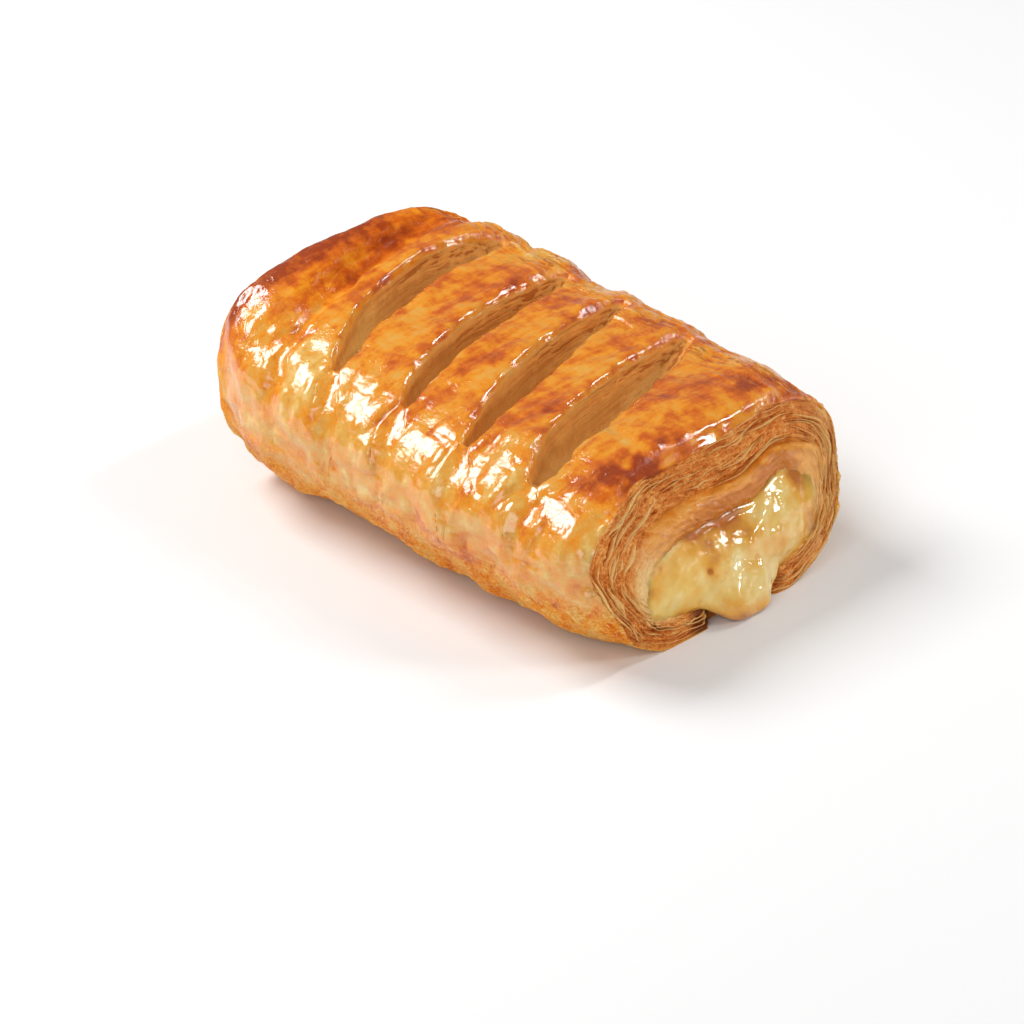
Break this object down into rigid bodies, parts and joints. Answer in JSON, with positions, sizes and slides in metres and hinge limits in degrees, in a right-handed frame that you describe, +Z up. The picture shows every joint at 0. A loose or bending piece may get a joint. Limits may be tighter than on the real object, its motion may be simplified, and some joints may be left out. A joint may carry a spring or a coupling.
{
  "type": "pastry roll",
  "caption": "Baked puff pastry roll with slanted cuts across its glazed top, flaky layered ends and melted cheese filling running through and out of the open end.",
  "frame": {"origin": "under the middle of the roll's box, on the surface it rests on", "axes": "+X along the roll to the open end where the cheese runs out, +Y across it, +Z up"},
  "size_m": [0.1362, 0.0928, 0.0504],
  "materials": {
    "pastry": "golden brown baked puff pastry, glossy egg glaze on top, matt flaky sides",
    "cheese": "pale yellow melted cheese, wet and lumpy"
  },
  "bodies": {
    "root": {"pastry": "pastry", "cheese_filling": "cheese"}
  },
  "joints": []
}
